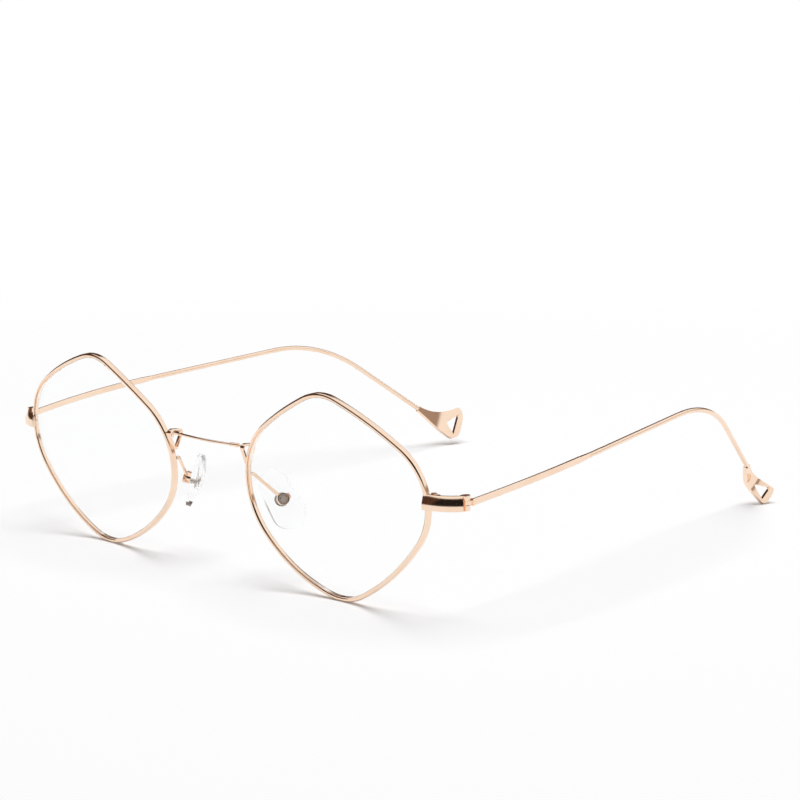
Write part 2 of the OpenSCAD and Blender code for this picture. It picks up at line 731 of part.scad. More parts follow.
// The pad screw's axis, with z along it
module at_pad_screw() {
    in_pad_frame() translate([0, screw_y, 0]) rotate([0, 90, 0]) children();
}
module along_pad(y0, length, r) {
    translate([0, y0 + length, 0]) rotate([90, 0, 0]) cylinder(h = length, r = r);
}

// Nose pad: a clear drop shape, crowned towards the nose, moulded round its metal core.
module nose_pad(side) {
    half = pad_h / 2;
    color(clear) placed(side) in_pad_frame() difference() {
        intersection() {
            plate(-pad_t / 2, pad_t / 2) rounded([
                [0, pad_bottom_r - half, pad_bottom_r], [0, half - pad_top_r, pad_top_r],
            ]);
            translate([0, pad_t / 2 - pad_crown_r, 0]) sphere(pad_crown_r, $fn = 120);
        }
        along_pad(-core_t / 2 - seat, core_t + 2 * seat, core_r + seat);
        along_pad(-pad_t, pad_t, stem_r + seat);
    }
}

// Pad core: a plate moulded into the pad and a drilled stem that turns on the pad screw.
module pad_core(side) {
    color(steel) placed(side) difference() {
        in_pad_frame() {
            along_pad(-core_t / 2, core_t, core_r);
            along_pad(screw_y - 0.8, -screw_y + 0.8, stem_r);
        }
        at_pad_screw() translate([0, 0, -2 * box_r]) cylinder(h = 4 * box_r, r = pad_screw_r + pad_run);
    }
}

// Pad box: a short tube round the pad's stem, cross-drilled for the screw.
module pad_box(side) {
    color(gold) placed(side) difference() {
        in_pad_frame() along_pad(box_far, box_len, box_r);
        in_pad_frame() along_pad(box_far - past, box_len + 2 * past, box_r - box_wall);
        at_pad_screw() translate([0, 0, -2 * box_r]) cylinder(h = 4 * box_r, r = pad_screw_r + seat);
    }
}

// Pad screw: through the box and the stem, its head on the temple side.
module pad_screw(side) {
    color(steel) placed(side) at_pad_screw() translate([0, 0, box_r + seat])
        slotted_screw(pad_screw_r, 2 * box_r, 0.65, 0.3);
}

// Pad arm: a wire from the rim's back, bent down to the pad box.
module pad_arm(side) {
    set_back = arm_bend_r * tan(arm_turn / 2);
    color(gold) placed(side) difference() {
        path_from(arm_root - [0, rim_d / 2, 0], 0, 0) {
            cylinder(h = arm_lead + rim_d / 2 - set_back - join, d = arm_d);
            past_run(arm_lead + rim_d / 2 - set_back) {
                join_ball(arm_d);
                bent(arm_bend_r, arm_turn, arm_roll) circle(d = arm_d);
                past_bend(arm_bend_r, arm_turn, arm_roll) {
                    join_ball(arm_d);
                    translate([0, 0, join]) cylinder(h = norm(arm_to_box) - set_back - join, d = arm_d);
                }
            }
        }
        rim_envelope();
        in_pad_frame() along_pad(box_far - past, box_len + 2 * past, box_r + seat);
    }
}

rim(LEFT);  // rim_left
rim(RIGHT);  // rim_right
lens(LEFT);  // lens_left
lens(RIGHT);  // lens_right
bridge();
pad_arm(LEFT);  // pad_arm_left
pad_arm(RIGHT);  // pad_arm_right
pad_box(LEFT);  // pad_box_left
pad_box(RIGHT);  // pad_box_right
pad_screw(LEFT);  // pad_screw_left
pad_screw(RIGHT);  // pad_screw_right
pad_core(LEFT);  // pad_core_left
pad_core(RIGHT);  // pad_core_right
nose_pad(LEFT);  // nose_pad_left
nose_pad(RIGHT);  // nose_pad_right
end_piece(LEFT);  // end_piece_left
end_piece(RIGHT);  // end_piece_right
lock_half(LEFT, 1);  // lock_upper_left
lock_half(RIGHT, 1);  // lock_upper_right
lock_half(LEFT, -1);  // lock_lower_left
lock_half(RIGHT, -1);  // lock_lower_right
lock_screw(LEFT);  // lock_screw_left
lock_screw(RIGHT);  // lock_screw_right
hinge_fork(LEFT);  // hinge_fork_left
hinge_fork(RIGHT);  // hinge_fork_right
hinge_screw(LEFT);  // hinge_screw_left
hinge_screw(RIGHT);  // hinge_screw_right
hinge_tongue(LEFT);  // hinge_tongue_left
hinge_tongue(RIGHT);  // hinge_tongue_right
temple(LEFT);  // temple_left
temple(RIGHT);  // temple_right
temple_tip(LEFT);  // temple_tip_left
temple_tip(RIGHT);  // temple_tip_right
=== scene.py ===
"""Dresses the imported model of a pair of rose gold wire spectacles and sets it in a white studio."""
import json
import logging
import math
from dataclasses import dataclass, field
from enum import Enum

import bmesh
import bpy
from mathutils import Matrix, Vector


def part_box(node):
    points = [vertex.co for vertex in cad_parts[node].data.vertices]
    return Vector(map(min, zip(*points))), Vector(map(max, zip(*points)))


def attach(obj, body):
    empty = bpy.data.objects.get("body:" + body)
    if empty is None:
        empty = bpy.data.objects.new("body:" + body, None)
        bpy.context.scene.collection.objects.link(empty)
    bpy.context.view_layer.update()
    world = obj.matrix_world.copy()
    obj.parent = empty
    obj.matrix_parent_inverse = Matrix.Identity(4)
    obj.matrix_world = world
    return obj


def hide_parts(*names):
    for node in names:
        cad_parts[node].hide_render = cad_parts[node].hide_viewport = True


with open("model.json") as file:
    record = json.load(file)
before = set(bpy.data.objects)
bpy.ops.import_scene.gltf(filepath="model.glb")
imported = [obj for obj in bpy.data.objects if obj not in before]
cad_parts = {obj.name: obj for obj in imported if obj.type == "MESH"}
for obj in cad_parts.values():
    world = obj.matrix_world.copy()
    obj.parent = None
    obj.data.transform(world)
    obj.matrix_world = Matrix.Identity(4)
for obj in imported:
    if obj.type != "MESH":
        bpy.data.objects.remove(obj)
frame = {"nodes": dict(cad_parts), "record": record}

LOG = logging.getLogger("spectacles")
MM = 0.001


class Side(Enum):
    """The wearer's two sides, with the sign of x on each."""

    LEFT = 1
    RIGHT = -1

    @property
    def word(self) -> str:
        """The side's word in the names of nodes."""
        return self.name.lower()


# ---- shader maths


class Term:
    """A shader value that adds a Math node for each operator used on it."""

    def __init__(self, workshop: "Workshop", socket: bpy.types.NodeSocket) -> None:
        """Wraps a socket of a workshop's tree.

        Args:
            workshop: the maker of the tree's nodes.
            socket: the output that holds the value.
        """
        self.workshop = workshop
        self.socket = socket

    def _math(self, operation: str, *values: "Term | float") -> "Term":
        """Adds one Math node.

        Args:
            operation: the node's operation.
            values: its inputs, in order.

        Returns:
            The node's result.
        """
        return self.workshop.node("ShaderNodeMath", {"operation": operation}, dict(enumerate(values)))

    def __add__(self, other: "Term | float") -> "Term":
        """Adds."""
        return self._math("ADD", self, other)

    def __radd__(self, other: "Term | float") -> "Term":
        """Adds, reflected."""
        return self._math("ADD", other, self)

    def __sub__(self, other: "Term | float") -> "Term":
        """Subtracts."""
        return self._math("SUBTRACT", self, other)

    def __rsub__(self, other: "Term | float") -> "Term":
        """Subtracts, reflected."""
        return self._math("SUBTRACT", other, self)

    def __mul__(self, other: "Term | float") -> "Term":
        """Multiplies."""
        return self._math("MULTIPLY", self, other)

    def __rmul__(self, other: "Term | float") -> "Term":
        """Multiplies, reflected."""
        return self._math("MULTIPLY", other, self)

    def step(self, low: float, high: float) -> "Term":
        """Runs smoothly from 0 at low to 1 at high.

        Args:
            low: the value that gives 0.
            high: the value that gives 1.

        Returns:
            The smooth step.
        """
        return self.workshop.node(
            "ShaderNodeMapRange", {"interpolation_type": "SMOOTHSTEP"},
            {"Value": self, "From Min": low, "From Max": high, "To Min": 0.0, "To Max": 1.0}, "Result",
        )


class Workshop:
    """Makes the nodes of one shader tree."""

    def __init__(self, tree: bpy.types.NodeTree) -> None:
        """Clears the tree and takes it over."""
        self.tree = tree
        tree.nodes.clear()

    def node(
        self, kind: str, settings: dict | None = None, inputs: dict | None = None, out: str | int = 0
    ) -> Term:
        """Adds any one node.

        Args:
            kind: the node's type.
            settings: its properties, set first.
            inputs: values or terms by the sockets' names or numbers.
            out: the name or number of the socket to return.

        Returns:
            The chosen output.
        """
        made = self.tree.nodes.new(kind)
        for name, value in (settings or {}).items():
            setattr(made, name, value)
        for name, value in (inputs or {}).items():
            socket = made.inputs[name]
            if isinstance(value, Term):
                self.tree.links.new(value.socket, socket)
            else:
                socket.default_value = value
        return Term(self, made.outputs[out]) if len(made.outputs) else Term(self, None)

    @classmethod
    def of(cls, name: str) -> tuple[bpy.types.Material, "Workshop"]:
        """Starts a material.

        Args:
            name: the material's name.

        Returns:
            The material and the workshop of its tree.
        """
        made = bpy.data.materials.new(name)
        made.use_nodes = True
        return made, cls(made.node_tree)

    def surface(self, shader: Term) -> None:
        """Makes a shader the material's surface."""
        self.node("ShaderNodeOutputMaterial", None, {"Surface": shader})

    def rays(self, kind: str) -> Term:
        """Tells a kind of rays from the rest.

        Args:
            kind: the kind, as the Light Path node names it.

        Returns:
            1 for these rays, 0 for the rest.
        """
        return self.node("ShaderNodeLightPath", out=f"Is {kind} Ray")

    def colour(self, factor: Term | float, a: tuple | Term, b: tuple | Term) -> Term:
        """Mixes two colours.

        Args:
            factor: 0 for the first, 1 for the second.
            a: the first colour.
            b: the second colour.

        Returns:
            The mixed colour.
        """
        a = a if isinstance(a, Term) else (*a, 1.0)
        b = b if isinstance(b, Term) else (*b, 1.0)
        return self.node("ShaderNodeMix", {"data_type": "RGBA"}, {0: factor, 6: a, 7: b}, 2)

    def place(self) -> Term:
        """The point on the object, in metres."""
        return self.node("ShaderNodeTexCoord", out="Object")

    def noise(self, scale: float, detail: float = 3.0, stretch: tuple = (1.0, 1.0, 1.0)) -> Term:
        """Adds a noise pattern on Object coordinates.

        Args:
            scale: waves to the metre.
            detail: octaves.
            stretch: scale along each axis.

        Returns:
            The noise, about 0 to 1.
        """
        at = self.node("ShaderNodeMapping", None, {"Vector": self.place(), "Scale": stretch})
        return self.node("ShaderNodeTexNoise", None, {"Vector": at, "Scale": scale, "Detail": detail}, "Fac")


# ---- finishes


@dataclass(frozen=True)
class Polished:
    """Bright plated metal with faint polishing marks and slight wear.

    Depths are in metres and scales in waves to the metre.
    """

    name: str
    colour: tuple = (0.955, 0.735, 0.57)
    worn: tuple = (0.93, 0.69, 0.52)
    roughness: float = 0.075
    cloud_scale: float = 160.0
    cloud_rough: float = 0.05
    wear: tuple = (0.42, 0.72)
    fine_scale: float = 2600.0
    fine_rough: float = 0.03
    mark_scale: float = 5200.0
    mark_stretch: tuple = (1.0, 1.0, 0.25)
    mark_height: float = 0.012
    mark_depth: float = 0.0002

    def material(self) -> bpy.types.Material:
        """Builds the material."""
        made, shop = Workshop.of(self.name)
        cloud = shop.noise(self.cloud_scale, detail=3.0)
        fine = shop.noise(self.fine_scale, detail=2.0)
        marks = shop.noise(self.mark_scale, detail=2.0, stretch=self.mark_stretch)
        tint = shop.colour(cloud.step(*self.wear), self.colour, self.worn)
        rough = self.roughness + self.cloud_rough * cloud + self.fine_rough * fine
        bump = shop.node(
            "ShaderNodeBump", None,
            {"Strength": self.mark_height, "Distance": self.mark_depth, "Height": marks}, "Normal",
        )
        shop.surface(shop.node(
            "ShaderNodeBsdfPrincipled", None,
            {"Base Color": tint, "Metallic": 1.0, "Roughness": rough, "Normal": bump}, "BSDF",
        ))
        return made


@dataclass(frozen=True)
class ClearLens:
    """A clear, untinted lens with a hard coat, of a low index, so that its edge draws no dark line."""

    name: str
    colour: tuple = (0.985, 0.995, 0.99)
    clean: tuple = (1.0, 1.0, 1.0)
    haze_scale: float = 90.0
    haze_rough: float = 0.004
    index: float = 1.12

    def material(self) -> bpy.types.Material:
        """Builds the material."""
        made, shop = Workshop.of(self.name)
        haze = shop.noise(self.haze_scale, detail=2.0)
        shop.surface(shop.node(
            "ShaderNodeBsdfPrincipled", None,
            {
                "Base Color": shop.colour(haze, self.colour, self.clean),
                "Roughness": self.haze_rough * haze,
                "IOR": self.index,
                "Transmission Weight": 1.0,
            }, "BSDF",
        ))
        return made


@dataclass(frozen=True)
class ClearSilicone:
    """Clear soft silicone, a little milky, with a moulded skin."""

    name: str
    colour: tuple = (0.97, 0.975, 0.985)
    clean: tuple = (1.0, 1.0, 1.0)
    roughness: float = 0.06
    cloud_scale: float = 350.0
    cloud_rough: float = 0.05
    skin_scale: float = 1500.0
    skin_height: float = 0.06
    skin_depth: float = 0.0001
    index: float = 1.2
    clearness: float = 0.97

    def material(self) -> bpy.types.Material:
        """Builds the material."""
        made, shop = Workshop.of(self.name)
        cloud = shop.noise(self.cloud_scale, detail=3.0)
        skin = shop.noise(self.skin_scale, detail=3.0)
        bump = shop.node(
            "ShaderNodeBump", None,
            {"Strength": self.skin_height, "Distance": self.skin_depth, "Height": skin}, "Normal",
        )
        shop.surface(shop.node(
            "ShaderNodeBsdfPrincipled", None,
            {
                "Base Color": shop.colour(cloud, self.colour, self.clean),
                "Roughness": self.roughness + self.cloud_rough * cloud,
                "IOR": self.index,
                "Transmission Weight": self.clearness,
                "Normal": bump,
            }, "BSDF",
        ))
        return made


@dataclass(frozen=True)
class PaperFloor:
    """White studio paper that fades into the white background between two distances, in metres."""

    name: str
    colour: tuple = (0.985, 0.985, 0.99, 1.0)
    white: tuple = (1.0, 1.0, 1.0, 1.0)
    lift: float = 0.03
    near: float = 0.16
    far: float = 0.42

    def material(self) -> bpy.types.Material:
        """Builds the material."""
        made, shop = Workshop.of(self.name)
        away = shop.node("ShaderNodeVectorMath", {"operation": "LENGTH"}, {0: shop.place()}, "Value")
        seen = shop.rays("Camera") + shop.rays("Glossy") + shop.rays("Transmission")
        paper = shop.node("ShaderNodeBsdfDiffuse", None, {"Color": self.colour}, "BSDF")
        white = shop.node("ShaderNodeEmission", None, {"Color": self.white, "Strength": 1.0}, "Emission")
        faded = away.step(self.near, self.far) * (1.0 - self.lift) + self.lift
        shop.surface(shop.node("ShaderNodeMixShader", None, {0: faded * seen, 1: paper, 2: white}, "Shader"))
        return made


# ---- shapes


@dataclass
class EyeOutline:
    """The lens outline: four corner arcs joined by four large side arcs, all tangent, in millimetres."""

    width: float = 48.7
    height: float = 43.1
    corners: tuple = (10.9, 15.9, 11.9, 13.7)
    sides: tuple = (80.0, 37.0, 49.0, 62.0)
    top_u: float = -0.8
    bottom_u: float = -0.1
    nasal_v: float = 0.0
    temporal_v: float = 1.8

    def centres(self) -> list[Vector]:
        """The centres of the corner arcs, counterclockwise from the top."""
        top, nasal, bottom, temporal = self.corners
        return [
            Vector((self.top_u, self.height / 2 - top)),
            Vector((nasal - self.width / 2, self.nasal_v)),
            Vector((self.bottom_u, bottom - self.height / 2)),
            Vector((self.width / 2 - temporal, self.temporal_v)),
        ]

    def side_centre(self, i: int) -> Vector:
        """Finds the centre of a side arc, which touches two corner arcs from inside.

        Args:
            i: the number of its first corner; the next one is its second.

        Returns:
            The centre.
        """
        mids = self.centres()
        j = (i + 1) % 4
        a, b = self.sides[i] - self.corners[i], self.sides[i] - self.corners[j]
        d = mids[j] - mids[i]
        along = (a * a - b * b + d.length_squared) / (2 * d.length)
        unit = d.normalized()
        return mids[i] + unit * along + Vector((-unit.y, unit.x)) * math.sqrt(a * a - along * along)

    def run(self, step: float = 0.5) -> list[tuple[Vector, Vector]]:
        """Walks the outline once.

        Args:
            step: the distance between its points.

        Returns:
            Points with their outward directions, counterclockwise.
        """
        mids, arcs = self.centres(), [self.side_centre(i) for i in range(4)]
        made = []
        for i in range(4):
            before, after, j = arcs[i - 1], arcs[i], (i + 1) % 4
            made += self._arc(mids[i], self.corners[i], mids[i] - before, mids[i] - after, step)
            made += self._arc(after, self.sides[i], mids[i] - after, mids[j] - after, step)
        return made

    @staticmethod
    def _arc(mid: Vector, r: float, start: Vector, stop: Vector, step: float) -> list[tuple[Vector, Vector]]:
        """Walks one arc.

        Args:
            mid: its centre.
            r: its radius.
            start: the direction of its first point from the centre.
            stop: the direction of its last point.
            step: the distance between its points.

        Returns:
            Its points without the last one, with their outward directions.
        """
        a, b = math.atan2(start.y, start.x), math.atan2(stop.y, stop.x)
        turn = (b - a) % math.tau
        n = max(3, round(turn * r / step))
        out = [Vector((math.cos(a + turn * k / n), math.sin(a + turn * k / n))) for k in range(n)]
        return [(mid + o * r, o) for o in out]


@dataclass
class LensPlane:
    """The left lens plane's place and its bowl, in millimetres and degrees."""

    x: float = 36.4
    lean: float = 6.5
    wrap: float = 2.0
    bowl_r: float = 120.0
    rim: float = 0.7
    front_y: float = 0.0
    outline: EyeOutline = field(default_factory=EyeOutline)

    def bowl(self, r: float) -> float:
        """Measures the bowl.

        Args:
            r: the distance from its middle.

        Returns:
            Its depth there.
        """
        return self.bowl_r - math.sqrt(self.bowl_r * self.bowl_r - r * r)

    def matrix(self) -> Matrix:
        """Takes (sideways, depth, up) in the lens plane to the part's frame."""
        low = self.outline.corners[2] + self.rim - self.outline.centres()[2].y
        a = math.radians(self.lean)
        z = low * math.cos(a) - self.bowl(low) * math.sin(a)
        return (
            Matrix.Translation((self.x, self.front_y, z))
            @ Matrix.Rotation(a, 4, "X")
            @ Matrix.Rotation(math.radians(self.wrap), 4, "Z")
        )


class SweepTree:
    """A Geometry Nodes tree that sweeps a drawn section along a drawn path."""

    def __init__(self) -> None:
        """Builds the tree once."""
        self.tree = bpy.data.node_groups.new("section_along_path", "GeometryNodeTree")
        face = self.tree.interface
        face.new_socket("Path", in_out="INPUT", socket_type="NodeSocketGeometry")
        self.section = face.new_socket("Section", in_out="INPUT", socket_type="NodeSocketObject").identifier
        self.finish = face.new_socket("Finish", in_out="INPUT", socket_type="NodeSocketMaterial").identifier
        self.fill = face.new_socket("Closed Ends", in_out="INPUT", socket_type="NodeSocketBool").identifier
        face.new_socket("Mesh", in_out="OUTPUT", socket_type="NodeSocketGeometry")
        add, link = self.tree.nodes.new, self.tree.links.new
        start, end = add("NodeGroupInput"), add("NodeGroupOutput")
        path, drawn = add("GeometryNodeMeshToCurve"), add("GeometryNodeMeshToCurve")
        info, side = add("GeometryNodeObjectInfo"), add("GeometryNodeInputNamedAttribute")
        normal, sweep = add("GeometryNodeSetCurveNormal"), add("GeometryNodeCurveToMesh")
        real, dress = add("GeometryNodeRealizeInstances"), add("GeometryNodeSetMaterial")
        normal.mode = "FREE"
        side.data_type = "FLOAT_VECTOR"
        side.inputs["Name"].default_value = "side"
        link(start.outputs["Path"], path.inputs[0])
        link(start.outputs["Section"], info.inputs["Object"])
        link(info.outputs["Geometry"], drawn.inputs[0])
        link(path.outputs[0], normal.inputs[0])
        link(side.outputs[0], normal.inputs["Normal"])
        link(normal.outputs[0], sweep.inputs["Curve"])
        link(drawn.outputs[0], sweep.inputs["Profile Curve"])
        link(start.outputs["Closed Ends"], sweep.inputs["Fill Caps"])
        link(sweep.outputs[0], real.inputs[0])
        link(real.outputs[0], dress.inputs[0])
        link(start.outputs["Finish"], dress.inputs["Material"])
        link(dress.outputs[0], end.inputs[0])

    def sweep(
        self, name: str, path: list[Vector], sides: list[Vector], section: list[tuple[float, float]],
        finish: bpy.types.Material, closed: bool,
    ) -> bpy.types.Object:
        """Sweeps a section along a path.

        Args:
            name: the piece's name.
            path: the points of the path, in metres.
            sides: the section's x direction at each point.
            section: the section's outline, in metres.
            finish: its material.
            closed: whether the path closes on itself.

        Returns:
            The piece, a plain mesh.
        """
        drawn = bpy.data.meshes.new(name + "_section")
        n = len(section)
        drawn.from_pydata([(x, y, 0.0) for x, y in section], [(i, (i + 1) % n) for i in range(n)], [])
        helper = bpy.data.objects.new(name + "_section", drawn)
        bpy.context.scene.collection.objects.link(helper)
        line = bpy.data.meshes.new(name + "_path")
        m = len(path)
        last = m if closed else m - 1
        line.from_pydata([tuple(p) for p in path], [(i, (i + 1) % m) for i in range(last)], [])
        side = line.attributes.new("side", "FLOAT_VECTOR", "POINT")
        side.data.foreach_set("vector", [c for s in sides for c in s])
        swept = bpy.data.objects.new(name + "_path", line)
        bpy.context.scene.collection.objects.link(swept)
        modifier = swept.modifiers.new("sweep", "NODES")
        modifier.node_group = self.tree
        modifier[self.section] = helper
        modifier[self.finish] = finish
        modifier[self.fill] = not closed
        graph = bpy.context.evaluated_depsgraph_get()
        mesh = bpy.data.meshes.new_from_object(swept.evaluated_get(graph))
        mesh.name = name
        swept.modifiers.clear()
        bpy.data.objects.remove(swept)
        bpy.data.objects.remove(helper)
        return Bench.stand(name, mesh, [finish])


class Bench:
    """Turns meshes into pieces."""

    @staticmethod
    def stand(name: str, mesh: bpy.types.Mesh, finishes: list[bpy.types.Material]) -> bpy.types.Object:
        """Links a mesh as an object with its finishes.

        Args:
            name: the object's name.
            mesh: its mesh.
            finishes: its materials.

        Returns:
            The object.
        """
        mesh.materials.clear()
        for finish in finishes:
            mesh.materials.append(finish)
        piece = bpy.data.objects.new(name, mesh)
        bpy.context.scene.collection.objects.link(piece)
        return piece

    @staticmethod
    def tidy(mesh: bpy.types.Mesh, smooth_under: float, weld: float = 2e-6, flat: float = 0.0) -> None:
        """Welds a mesh, points its faces outwards and marks its sharp edges.

        Args:
            mesh: the mesh to change.
            smooth_under: the angle in degrees under which an edge is smooth.
            weld: how near to each other points are merged.
            flat: the angle in degrees under which faces are joined into one.
        """
        work = bmesh.new()
        work.from_mesh(mesh)
        bmesh.ops.remove_doubles(work, verts=work.verts, dist=weld)
        if flat:
            bmesh.ops.dissolve_limit(
                work, angle_limit=math.radians(flat), verts=work.verts, edges=work.edges, delimit={"SHARP"}
            )
        bmesh.ops.recalc_face_normals(work, faces=work.faces)
        limit = math.radians(smooth_under)
        for face in work.faces:
            face.smooth = True
        for edge in work.edges:
            edge.smooth = len(edge.link_faces) == 2 and edge.calc_face_angle(0.0) < limit
        work.to_mesh(mesh)
        work.free()

    @staticmethod
    def bevel(piece: bpy.types.Object, name: str, width: float, segments: int, over: float) -> None:
        """Rounds a piece's sharp edges.

        Args:
            piece: the piece.
            name: the modifier's name.
            width: the width of the rounding, in millimetres.
            segments: the number of faces across it.
            over: the angle in degrees over which an edge is sharp.
        """
        edge = piece.modifiers.new(name, "BEVEL")
        edge.width = width * MM
        edge.segments = segments
        edge.limit_method = "ANGLE"
        edge.angle_limit = math.radians(over)
        edge.harden_normals = True

    @classmethod
    def from_node(
        cls, node: str, body: str, finish: bpy.types.Material, slot: str, bevel: float = 0.0,
        smooth_under: float = 28.0,
    ) -> bpy.types.Object:
        """Makes a smooth piece with broken edges from a CAD node's own mesh and lets it stand for the node.

        Args:
            node: the node's name.
            body: the body that it rides on.
            finish: its material.
            slot: the record's material slot; not used.
            bevel: the width of its broken edges, in millimetres.
            smooth_under: the angle in degrees under which an edge is smooth.

        Returns:
            The piece.
        """
        mesh = frame["nodes"][node].data.copy()
        mesh.name = node + "_finished"
        cls.tidy(mesh, smooth_under, flat=0.05)
        piece = cls.stand(node + "_finished", mesh, [finish])
        if bevel:
            cls.bevel(piece, "broken_edges", bevel, segments=3, over=smooth_under)
        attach(piece, body)
        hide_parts(node)
        return piece


# ---- sub-assemblies


@dataclass
class Rims:
    """The two rims: one thin crowned section swept round each lens.

    Lengths are in millimetres and the crown's two ends in degrees.
    """

    plane: LensPlane
    depth: float = 1.45
    lip: float = 0.3
    lip_step: float = 0.3
    crown: tuple = (-14.0, 58.0)
    corner_r: float = 0.09
    outer_back_r: float = 0.3
    edge_r: float = 0.06
    slit: float = 0.12
    slit_z: float = 25.3

    def section(self) -> list[tuple[float, float]]:
        """The rim's section: x outwards from the lens outline, y to the back, in millimetres."""
        made = []

        def round_to(cx: float, cy: float, r: float, a0: float, a1: float, n: int) -> None:
            """Adds n steps of an arc of radius r round (cx, cy), from angle a0 to angle a1 in degrees."""
            for k in range(n + 1):
                a = math.radians(a0 + (a1 - a0) * k / n)
                made.append((cx + r * math.cos(a), cy + r * math.sin(a)))

        rim, e, c = self.plane.rim, self.edge_r, self.corner_r
        low, high = (math.radians(v) for v in self.crown)
        crown_r = (rim - c + c * math.sin(high)) / (math.sin(high) - math.sin(low))
        middle = -crown_r * math.sin(low)
        round_to(middle, crown_r, crown_r, self.crown[0] - 90, self.crown[1] - 90, n=14)
        drop = (crown_r - c) * (1 - math.cos(high))
        round_to(rim - c, drop + c, c, self.crown[1] - 90, 0, n=4)
        round_to(rim - self.outer_back_r, self.depth - self.outer_back_r, self.outer_back_r, 0, 90, n=7)
        round_to(e - self.lip, self.depth - e, e, 90, 180, n=3)
        round_to(e - self.lip, self.lip_step + e, e, 180, 270, n=3)
        made.append((0.0, self.lip_step))
        return made

    def build(self, sweeps: SweepTree, finish: bpy.types.Material) -> list[bpy.types.Object]:
        """Sweeps both rims, each open at its slit.

        Args:
            sweeps: the sweeping tree.
            finish: the rims' metal.

        Returns:
            The two pieces.
        """
        place = self.plane.matrix()
        run = self.plane.outline.run(step=0.4)
        points = [place @ Vector((p.x, self.plane.bowl(p.length), p.y)) for p, _ in run]
        sides = [place.to_3x3() @ Vector((o.x, 0.0, o.y)) for _, o in run]
        # The open run starts just above the slit, on the temple side, and ends just below it.
        temple_side = [i for i in range(len(run)) if points[i].x >= self.plane.x]
        slit_at = min(temple_side, key=lambda i: abs(points[i].z - self.slit_z))
        order = [(slit_at + k) % len(run) for k in range(len(run))]
        points, sides = [points[i] for i in order], [sides[i] for i in order]
        for end, z in ((0, self.slit_z + self.slit / 2), (-1, self.slit_z - self.slit / 2)):
            points[end] = points[end] + Vector((0, 0, z - points[end].z))
        made = []
        for side in Side:
            flip = Vector((side.value, 1, 1))
            piece = sweeps.sweep(
                f"rim_{side.word}_crowned", [p * flip * MM for p in points], [s * flip for s in sides],
                [(x * MM, y * MM * side.value) for x, y in self.section()], finish, closed=False,
            )
            Bench.tidy(piece.data, smooth_under=40.0)
            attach(piece, "front")
            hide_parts(f"rim_{side.word}")
            made.append(piece)
        return made


@dataclass
class EndPieces:
    """The two end pieces: a flat bar, crowned off centre, swept from the rim's front round to the hinge.

    Lengths are in millimetres and turns in degrees.
    """

    front_y: float
    edge_x: float = 61.2438
    edge_y: float = 3.0786
    start_turn: float = 14.0006
    middle: float = -0.15
    lap: float = 0.9
    straight: float = 0.5
    turn_r: float = 10.0
    turn: float = 43.0
    end_y: float = 6.8792
    z: float = 25.3
    height: float = 3.1
    thick: float = 1.0
    crown_r: float = 4.5
    crown_drop: float = -1.05
    edge_r: float = 0.16
    top_r: float = 0.42
    top_from: float = 26.0

    def section(self) -> list[tuple[float, float]]:
        """The bar's section: x out of its outer face, y up, in millimetres."""
        half, e, made = self.height / 2, self.edge_r, []

        def face(y: float) -> float:
            """The outer face's x at a height."""
            d = y - self.crown_drop
            return self.thick / 2 - self.crown_r + math.sqrt(self.crown_r * self.crown_r - d * d)

        def corner(cx: float, cy: float, r: float, *turns: float) -> None:
            """Adds the points of an arc of radius r round (cx, cy) at some angles in degrees."""
            for a in (math.radians(v) for v in turns):
                made.append((cx + r * math.cos(a), cy + r * math.sin(a)))

        t, back, steps = self.top_r, e - self.thick / 2, 16
        high = half - t * (1 - math.sin(math.radians(self.top_from)))
        for k in range(steps + 1):
            y = -half + e + (high + half - e) * k / steps
            made.append((face(y), y))
        corner(face(high) - t * math.cos(math.radians(self.top_from)), half - t, t, 40, 54, 66, 78, 90)
        corner(back, half - e, e, 90, 120, 150, 180)
        corner(back, e - half, e, 180, 210, 240, 270)
        corner(face(e - half) - e, e - half, e, 270, 300, 330)
        return made

    def path(self) -> list[tuple[Vector, Vector]]:
        """The bar's middle line with its outward directions, left side, in millimetres."""
        bar, flat_steps, turn_steps = [], 5, 24
        for k in range(flat_steps):
            x = -self.lap + (self.lap + self.straight) * k / flat_steps
            bar.append((Vector((x, self.middle, 0)), Vector((0, -1, 0))))
        for k in range(turn_steps + 1):
            a = math.radians(self.turn * k / turn_steps)
            out = Vector((math.sin(a), -math.cos(a), 0))
            bar.append((Vector((self.straight, self.middle + self.turn_r, 0)) + out * self.turn_r, out))
        place = Matrix.Translation((self.edge_x, self.edge_y + self.front_y, self.z)) @ Matrix.Rotation(
            math.radians(self.start_turn), 4, "Z"
        )
        made = [(place @ p, place.to_3x3() @ o) for p, o in bar]
        return [(p, o) for p, o in made if p.y < self.end_y + self.front_y]

    def build(self, sweeps: SweepTree, finish: bpy.types.Material) -> list[bpy.types.Object]:
        """Sweeps both bars.

        Args:
            sweeps: the sweeping tree.
            finish: their metal.

        Returns:
            The two pieces.
        """
        made = []
        for side in Side:
            flip = Vector((side.value, 1, 1))
            run = self.path()
            piece = sweeps.sweep(
                f"end_piece_{side.word}_crowned", [p * flip * MM for p, _ in run], [o * flip for _, o in run],
                [(x * MM, -y * MM * side.value) for x, y in self.section()], finish, closed=False,
            )
            Bench.tidy(piece.data, smooth_under=34.0)
            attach(piece, "front")
            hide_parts(f"end_piece_{side.word}")
            made.append(piece)
        return made


